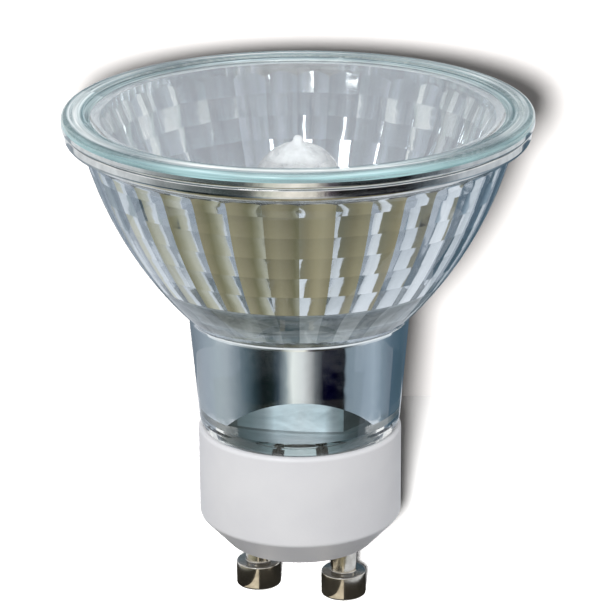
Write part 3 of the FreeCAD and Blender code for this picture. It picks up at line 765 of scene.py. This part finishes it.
def makeReflector(shape):
    mesh = bmesh.new()
    count = shape["flutes"] * shape["across"]
    angles = boreAngles(shape, count)
    spinInto(mesh, profile(shape["outside"], shape["outsideSteps"]), angles, slot=glassSlot)
    rings = mirrorRings(mesh, shape, angles)
    # ledge, throat and neck wall, down to the vault
    throat = profile([shape["throatTop"], (*shape["throatFoot"], shape["throatRound"], "left")],
                     shape["throatSteps"])
    inside = spinInto(mesh, throat, angles, slot=collarSlot)
    quads(mesh, rings[0], inside[0], count, collarSlot)
    bore = shape["throatFoot"][0]
    places = [(bore * math.cos(a), bore * math.sin(a)) for a in angles]
    feet = [vaultHeight(shape, x, y) for x, y in places]
    foot = [mesh.verts.new((x * mm, y * mm, low * mm)) for (x, y), low in zip(places, feet)]
    middles = [mesh.verts.new((x * mm, y * mm,
                               (shape["boreMiddle"] + low * shape["boreLean"]) * mm))
               for (x, y), low in zip(places, feet)]
    quads(mesh, inside[-1], middles, count, boreSlot)
    quads(mesh, middles, foot, count, boreSlot)
    vaultStrips(mesh, shape, places)
    bmesh.ops.remove_doubles(mesh, verts=mesh.verts, dist=1e-7)
    rim = [e for e in mesh.edges if len(e.link_faces) == 1]
    filled = bmesh.ops.triangle_fill(mesh, use_beauty=True, edges=[
        e for e in rim if all(abs(v.co.z - shape["roof"] * mm) < 1e-8 for v in e.verts)])
    for part in filled["geom"]:
        if isinstance(part, bmesh.types.BMFace):
            part.material_index = bridgeSlot
    flangeRadius, flangeHeight = shape["flangeFrom"]
    for face in mesh.faces:
        middle = face.calc_center_median()
        outer = math.hypot(middle.x, middle.y) > flangeRadius * mm
        if face.material_index == glassSlot and outer and middle.z > flangeHeight * mm:
            face.material_index = flangeSlot
    openEdges = sum(1 for e in mesh.edges if len(e.link_faces) != 2)
    print("reflector faces", len(mesh.faces), "open edges", openEdges)
    return pieceFrom(mesh, "reflectorBody", [finishes[name] for name in reflectorSlots],
                     ["reflector"], list(reflectorSlots.values()), weld=0)


reflector = makeReflector(reflectorShape)
print("reflector built")


coverShape = {
    "radius": 25.3, "top": 56.1, "bottom": 54.62, "topEdge": 0.65, "arris": 0.25,
    "bossRadius": 22.2, "bossRoot": 23.1, "bossBottom": 53.92, "edgeStart": 22.8,
    "filmTop": 55.25, "filmDepth": 0.3, "clearMargin": 0.1, "steps": 12, "segments": 288,
}


def makeCover(shape):
    radius, top, bottom = shape["radius"], shape["top"], shape["bottom"]
    points = profile([
        (shape["edgeStart"], top), (0, top), (0, shape["bossBottom"]),
        (shape["bossRadius"], shape["bossBottom"]), (shape["bossRoot"], bottom),
        (radius - shape["arris"], bottom),
        (radius, bottom + shape["arris"], shape["arris"], "left"), (radius, shape["filmTop"]),
        (radius, top - shape["topEdge"]),
        (radius - shape["topEdge"], top, shape["topEdge"], "left"),
    ], shape["steps"])
    mesh = bmesh.new()
    spinInto(mesh, points, evenAngles(shape["segments"]), True)
    edgeSlot, filmSlot = 1, 2
    for face in mesh.faces:
        middle = face.calc_center_median()
        away = math.hypot(middle.x, middle.y) / mm
        outer = away > radius - shape["filmDepth"]
        if away > shape["bossRadius"] + shape["clearMargin"]:
            filmed = outer and middle.z < shape["filmTop"] * mm
            face.material_index = filmSlot if filmed else edgeSlot
    materials = [finishes[name] for name in ("cover_glass", "cover_edge", "flange")]
    return pieceFrom(mesh, "coverLens", materials, ["front_glass"])


cover = makeCover(coverShape)
print("front glass built")


baseShape = {
    "radius": 11.2, "rim": 20.2, "edge": 0.5, "foot": 8.2, "underside": 6.65, "cone": 9.9,
    "wall": 1.0, "floor": 2.8, "segments": 192, "steps": 8,
    "footRound": 0.5, "footInset": 0.25, "coneRound": 0.7, "coneRise": 0.25,
    "cornerOut": 0.2, "cornerUp": 0.22,  # from a corner to where its rounding meets the cone
}


def makeBase(shape):
    radius, rim, edge = shape["radius"], shape["rim"], shape["edge"]
    foot, underside, cone = shape["foot"], shape["underside"], shape["cone"]
    out, up = shape["cornerOut"], shape["cornerUp"]
    floorTop = underside + shape["floor"]
    inner = radius - shape["wall"]
    points = profile([
        (0, floorTop), (0, underside), (foot - shape["footInset"], underside),
        (foot + out, underside + up, shape["footRound"], "left"), (radius - out, cone - up),
        (radius, cone + shape["coneRise"], shape["coneRound"], "left"),
        (radius, rim - edge), (radius - edge, rim, edge, "left"), (inner, rim),
        (inner, cone + shape["wall"]), (foot, floorTop),
    ], shape["steps"])
    return spunPiece("ceramicBase", points, "white_ceramic", "base_cap", shape["segments"])


pinShape = {
    "headRadius": 2.5, "headHeight": 2.9, "headEdge": 0.25, "stem": 1.47, "root": 0.15,
    "top": 9.45, "flare": 2.2, "flareHeight": 0.5, "bore": 0.7, "boreEnd": 3.2, "pitch": 10.0,
    "steps": 6, "segments": 72,
}


def makePin(shape, side, x):
    head, edge, height = shape["headRadius"], shape["headEdge"], shape["headHeight"]
    stem, root, top, lip = shape["stem"], shape["root"], shape["top"], shape["flareHeight"]
    points = profile([
        (0, shape["boreEnd"]), (0, 0), (head - edge, 0), (head, edge, edge, "left"),
        (head, height - edge), (head - edge, height, edge, "left"),
        (stem + root, height), (stem, height + root, root, "right"),
        (stem, top), (shape["flare"], top), (shape["flare"] - lip / 2, top + lip),
        (shape["bore"], top + lip), (shape["bore"], shape["boreEnd"]),
    ], shape["steps"])
    return spunPiece("turnedPin" + side, points, "nickel_plate",
                     "contact_pin_" + side.lower(), shape["segments"], (x, 0))


base = makeBase(baseShape)
pins = [makePin(pinShape, side, sign * pinShape["pitch"] / 2)
        for side, sign in (("Left", -1), ("Right", 1))]
print("base and pins built")


capsuleShape = {
    "radius": 4.9, "wall": 1.0, "dome": 45.62, "foot": 34.5, "tip": 1.1, "tipLength": 1.0,
    "pinchTop": 31.8, "pinchBottom": 20.6, "pinchWidth": 8.0, "pinchDepth": 3.0, "turn": 35,
    "pinchSteps": 8, "ease": 0.3, "segments": 144, "steps": 24,
}


def pinchPlace(shape, angle):  # a point of the pinch's rectangle for an angle of the round body
    wide, deep = shape["pinchWidth"] / 2, shape["pinchDepth"] / 2
    turn = math.radians(shape["turn"])
    angle = (angle + math.pi) % (2 * math.pi) - math.pi
    if abs(angle) <= turn:
        return wide, deep * angle / turn
    if abs(angle) >= math.pi - turn:
        rest = math.copysign(math.pi, angle) - angle
        return -wide, deep * rest / turn
    share = (abs(angle) - turn) / (math.pi - 2 * turn)
    return wide - 2 * wide * share, math.copysign(deep, angle)


def makeCapsule(shape):
    mesh = bmesh.new()
    angles = evenAngles(shape["segments"])
    radius, dome, foot, wall = shape["radius"], shape["dome"], shape["foot"], shape["wall"]
    tip, length = shape["tip"], shape["tipLength"]
    tipFoot = dome + math.sqrt(radius ** 2 - tip ** 2)
    outer = profile([
        (radius, foot), (radius, dome), (tip, tipFoot, radius, "left"),
        (tip / 2, tipFoot + length - tip / 2, length, "right"),
        (0, tipFoot + length, tip / 2, "left"),
    ], shape["steps"])
    low = spinInto(mesh, outer, angles)[0]
    for step in range(1, shape["pinchSteps"] + 1):
        share = step / shape["pinchSteps"]
        ease = share * share * (3 - 2 * share)
        eased = ease * shape["ease"] + share * (1 - shape["ease"])
        height = foot + (shape["pinchTop"] - foot) * share
        ring = []
        for a in angles:
            px, py = pinchPlace(shape, a)
            ring.append(mesh.verts.new((
                (radius * math.cos(a) * (1 - eased) + px * eased) * mm,
                (radius * math.sin(a) * (1 - eased) + py * eased) * mm, height * mm)))
        quads(mesh, low, ring, len(angles))
        low = ring
    bottom = [mesh.verts.new((v.co.x, v.co.y, shape["pinchBottom"] * mm)) for v in low]
    quads(mesh, low, bottom, len(angles))
    mesh.faces.new(bottom)
    inside = radius - wall
    spinInto(mesh, profile([
        (0, foot - wall), (shape["pinchDepth"] / 2, foot - wall), (inside, foot + wall),
        (inside, dome), (0, dome + inside, inside, "left"),
    ], shape["steps"]), angles)
    return pieceFrom(mesh, "quartzCapsule", [finishes["quartz"]],
                     ["capsule_envelope"])


coilShape = {"leg": 2.4, "foot": 36.0, "bend": 44.62, "radius": 0.42, "wire": 0.075,
             "pitch": 0.24, "perTurn": 10}


def makeCoil(shape):
    leg, rise, perTurn = shape["leg"], shape["bend"] - shape["foot"], shape["perTurn"]
    roundPart = math.pi * leg
    total = 2 * rise + roundPart
    winding = shape["radius"] - shape["wire"]
    points = []
    for step in range(int(total / shape["pitch"] * perTurn) + 1):
        along = min(step / perTurn * shape["pitch"], total)
        if along < rise:
            middle, side = Vector((-leg, 0, shape["foot"] + along)), Vector((1, 0, 0))
        elif along < rise + roundPart:
            a = math.pi - (along - rise) / leg
            side = Vector((-math.cos(a), 0, -math.sin(a)))
            middle = Vector((leg * math.cos(a), 0, shape["bend"] + leg * math.sin(a)))
        else:
            middle = Vector((leg, 0, shape["bend"] - (along - rise - roundPart)))
            side = Vector((-1, 0, 0))
        twist = 2 * math.pi * step / perTurn
        offset = math.cos(twist) * side + math.sin(twist) * Vector((0, 1, 0))
        points.append(middle + winding * offset)
    curve = bpy.data.curves.new("filamentCoil", "CURVE")
    curve.dimensions = "3D"
    curve.bevel_depth = shape["wire"] * mm
    curve.bevel_resolution = 1
    spline = curve.splines.new("POLY")
    spline.points.add(len(points) - 1)
    for point, place in zip(spline.points, points):
        point.co = (*(place * mm), 1)
    curve.materials.append(finishes["tungsten"])
    rideRoot(placed("filamentCoil", curve), ["filament"])


capsule = makeCapsule(capsuleShape)
makeCoil(coilShape)
print("capsule and coil built")


nearRoom = {  # bearing in degrees from the camera's side, and the light from there
    "near": 76, "far": 144, "lift": 0.3, "stops": [
        (-180, (0.12, 0.16, 0.19)), (-140, (0.32, 0.37, 0.43)), (-115, (0.42, 0.48, 0.52)),
        (-97, (0.38, 0.43, 0.47)), (-80, (0.19, 0.24, 0.28)), (-66, (0.08, 0.12, 0.145)),
        (-56, (0.02, 0.04, 0.05)), (-46, (0.0, 0.003, 0.004)), (-34, (0.005, 0.012, 0.012)),
        (-26, (0.04, 0.06, 0.08)), (-17, (0.28, 0.33, 0.35)), (-8, (0.95, 0.97, 0.93)),
        (3, (0.80, 0.81, 0.80)), (12, (0.50, 0.50, 0.50)), (20, (0.13, 0.14, 0.15)),
        (28, (0.0, 0.0, 0.01)), (55, (0.0, 0.0, 0.003)), (58, (0.24, 0.30, 0.35)),
        (84, (0.28, 0.35, 0.42)), (99, (0.34, 0.42, 0.50)), (115, (0.18, 0.25, 0.31)),
        (130, (0.09, 0.14, 0.19)), (154, (0.06, 0.11, 0.15)), (180, (0.08, 0.12, 0.16))],
}
ringCards = {  # flat rings round the lamp, just over the floor
    "pale": {"near": 0, "far": 400, "lift": 0.1,
             "dark": (0.70, 0.74, 0.80), "light": (0.80, 0.84, 0.90)},
    "khaki": {
        "near": 13, "far": 68, "from": -102, "to": 70, "nearTo": 15,
        "side": [(64, -25), (25, -22)], "stops": [
            (-102, (0.60, 0.60, 0.52)), (-78, (0.53, 0.52, 0.42)), (-58, (0.31, 0.30, 0.205)),
            (-43, (0.20, 0.188, 0.11)), (-22, (0.29, 0.26, 0.17)), (-2, (0.36, 0.325, 0.215)),
            (12, (0.34, 0.305, 0.195)), (30, (0.25, 0.225, 0.145)), (55, (0.205, 0.20, 0.145)),
            (80, (0.24, 0.23, 0.165))]},
    "nearRoom": nearRoom,
    "farRoom": {"near": 144, "far": 300, "stops": [
        (-180, (0.9, 0.93, 0.96)), (-90, (0.80, 0.84, 0.88)), (-62, (0.30, 0.33, 0.34)),
        (-36, (0.05, 0.07, 0.07)), (-24, (0.07, 0.08, 0.08)), (-13, (0.75, 0.76, 0.66)),
        (-4, (1.1, 1.05, 0.96)), (6, (1.0, 0.96, 0.86)), (13, (0.10, 0.08, 0.10)),
        (19, (0.0, 0.0, 0.0)), (50, (0.0, 0.0, 0.003)), (64, (0.14, 0.17, 0.20)),
        (84, (0.62, 0.67, 0.73)), (180, (0.9, 0.93, 0.96))]},
    "neckShade": {"near": 50, "far": 78, "from": 112, "to": 150,
                  "dark": (0.06, 0.10, 0.13), "light": (0.10, 0.15, 0.19)},
    "pinShade": {"near": 0, "far": 12.8,
                 "dark": (0.02, 0.02, 0.018), "light": (0.06, 0.055, 0.045)},
    "nearStrip": {**nearRoom, "near": 62, "far": 76, "from": -62, "to": 57},
}
ringLook = {"steps": 48, "lift": 0.2, "cloud": 48.0}
wallRoom = {"inFront": 1, "rise": 34}  # nearRoom goes on up the backdrop, for the neck's edges
domeCards = {
    "ceiling": {"distance": 260, "low": 19, "high": 60, "from": -100, "to": 100,
                "dark": (0.21, 0.24, 0.30), "light": (0.45, 0.49, 0.58), "cloud": 14.0},
    "farShade": {"distance": 260, "low": 6, "high": 42, "from": 110, "to": 250,
                 "dark": (0.16, 0.18, 0.21), "light": (0.34, 0.37, 0.41), "cloud": 10.0},
}
lampCards = {  # small bright panes, as bearing and height in degrees
    "window": {"bearing": (-31, -10), "height": (37, 50), "strength": 5.0},
    "windowBar": {"bearing": (-27.5, -23.5), "height": (31, 34.5), "strength": 5.0},
    "topLight": {"bearing": (-60, 40), "height": (66, 72), "strength": 6.0},
}
domeCentre, domeSteps, lampDistance = 45, 24, 240
pinGlow = {"xs": (-5.6, 3.9), "width": 1.7, "depth": 14, "lift": 0.3,
           "colour": (0.95, 0.86, 0.68)}


def cardCloud(graph, look, scale):
    cloud = graph.noise(scale, detail=2.0, roughness=0.45)
    return graph.ramp(cloud, [(0.36, look["dark"]), (0.64, look["light"])])


def cardPiece(name, corners, faces, light, strength=1.0):  # light makes the colour in a graph
    graph = newGraph(name + "Card")
    material = graph.finish(graph.emission(light(graph), strength))
    return stagePiece(name + "Card", corners, faces, material, ("glossy", "transmission"))


def ringCard(name, card):
    steps, lift = ringLook["steps"], card.get("lift", ringLook["lift"])
    first, last = card.get("from", -180), card.get("to", 180)

    def light(graph):
        if "stops" not in card:
            return cardCloud(graph, card, ringLook["cloud"])
        x, y, _ = graph.axes()
        bearing = graph.maths("ARCTAN2", x, 0.0 - y)
        return graph.ramp(bearing * (0.5 / math.pi) + 0.5,
                          [(angle / 360 + 0.5, shade) for angle, shade in card["stops"]])

    def arc(radius, end):
        angles = [math.radians(-90 + first + (end - first) * k / steps)
                  for k in range(steps + 1)]
        return [(radius * math.cos(a), radius * math.sin(a), lift) for a in angles]

    outer = arc(card["far"], last)
    inner = arc(card["near"], card.get("nearTo", last)) if card["near"] else [(0, 0, lift)]
    if "side" in card:  # one concave face
        corners = outer + [(x, y, lift) for x, y in card["side"]] + inner[::-1]
        faces = [range(len(corners))]
    elif card["near"]:
        corners = outer + inner
        faces = [(k, k + 1, k + steps + 2, k + steps + 1) for k in range(steps)]
    else:
        corners = outer + inner
        faces = [(k, k + 1, steps + 1) for k in range(steps)]
    return cardPiece(name, corners, faces, light)


def domePoint(distance, bearing, height):
    a, up = math.radians(-90 + bearing), math.radians(height)
    return (distance * math.cos(up) * math.cos(a), distance * math.cos(up) * math.sin(a),
            domeCentre + distance * math.sin(up))


def domeCard(name, card):  # a sector of a dome over the lamp
    span = card["to"] - card["from"]
    corners = [domePoint(card["distance"], card["from"] + span * k / domeSteps, height)
               for height in (card["low"], (card["low"] + card["high"]) / 2, card["high"])
               for k in range(domeSteps + 1)]
    faces = [(low, low + 1, low + domeSteps + 2, low + domeSteps + 1)
             for row in range(2)
             for low in range(row * (domeSteps + 1), row * (domeSteps + 1) + domeSteps)]
    cardPiece(name, corners, faces, lambda graph: cardCloud(graph, card, card["cloud"]))


def lampCard(name, card):
    corners = [domePoint(lampDistance, card["bearing"][side], card["height"][level])
               for side, level in ((0, 0), (1, 0), (1, 1), (0, 1))]
    cardPiece(name, corners, [range(4)], lambda graph: (1, 1, 1), card["strength"])


def makeCards():
    rings = {name: ringCard(name, card) for name, card in ringCards.items()}
    reach, gap = studio["wallReach"], studio["wallGap"] - wallRoom["inFront"]
    rise = wallRoom["rise"]
    stagePiece("wallRoomCard",
               [(-reach, gap, 0), (reach, gap, 0), (reach, gap, rise), (-reach, gap, rise)],
               [range(4)], rings["nearRoom"].data.materials[0], ("glossy", "transmission"))
    for name, card in domeCards.items():
        domeCard(name, card)
    for name, card in lampCards.items():
        lampCard(name, card)
    half, depth, lift = pinGlow["width"] / 2, pinGlow["depth"], pinGlow["lift"]
    for side, x in zip(("Left", "Right"), pinGlow["xs"]):
        corners = [(x - half, 0, lift), (x + half, 0, lift), (x + half, -depth, lift),
                   (x - half, -depth, lift)]
        cardPiece("pinGlow" + side, corners, [range(4)], lambda graph: pinGlow["colour"])


makeCards()
innerParts = [frame["nodes"][name] for name in
              ("capsule_cement", "base_cement", "lens_adhesive")]
makeSun("inner", innerParts + [reflector, cover, capsule], floor)  # only the floor shades them
makeSun("key", [base, *pins])
print("cards placed")

bpy.context.scene.view_settings.view_transform = "Standard"
